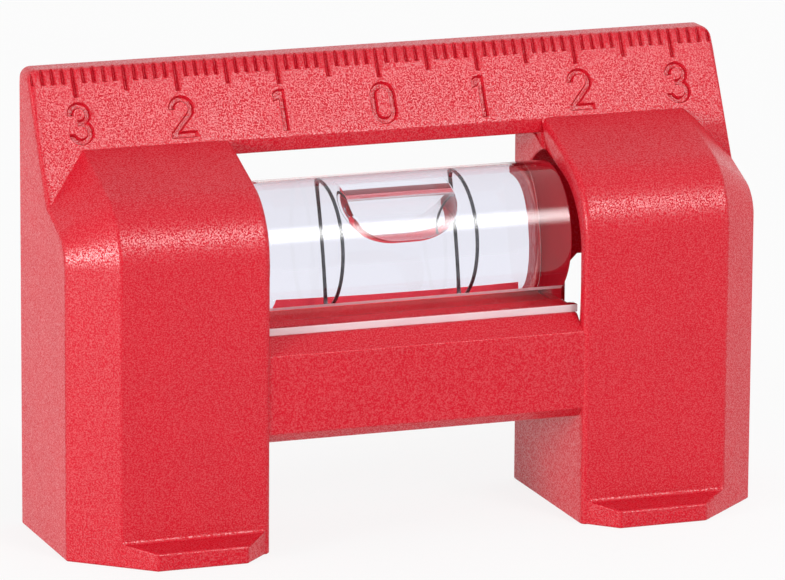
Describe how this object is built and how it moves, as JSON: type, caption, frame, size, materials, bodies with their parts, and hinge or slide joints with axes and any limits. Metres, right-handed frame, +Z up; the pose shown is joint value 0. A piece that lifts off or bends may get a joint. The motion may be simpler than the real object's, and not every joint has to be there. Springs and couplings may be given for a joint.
{
  "type": "mini spirit level",
  "caption": "Pocket spirit level: a moulded body on two feet with a slanted engraved millimetre ruler over a clear barrel vial with a sliding bubble.",
  "frame": {"origin": "on the surface that the feet stand on, at the centre of the footprint, lips included", "axes": "+X along the ruler and the vial, +Y to the flat back, +Z up"},
  "size_m": [0.0688, 0.0202, 0.0442],
  "materials": {
    "body_plastic": "red, finely spark-textured",
    "clear_acrylic": "clear, polished acrylic",
    "ring_plastic": "near black",
    "vial_liquid": "clear liquid",
    "bubble_air": "air"
  },
  "bodies": {
    "level": {"body": "body_plastic", "vial_block": "clear_acrylic", "vial_plug": "clear_acrylic", "ring_left": "ring_plastic", "ring_right": "ring_plastic", "vial_liquid": "vial_liquid"},
    "bubble": {"bubble": "bubble_air"}
  },
  "joints": [
    {"name": "bubble_slide", "type": "slide", "parent": "level", "child": "bubble", "axis": [1, 0, 0], "range_m": [-0.0068, 0.0068]}
  ]
}
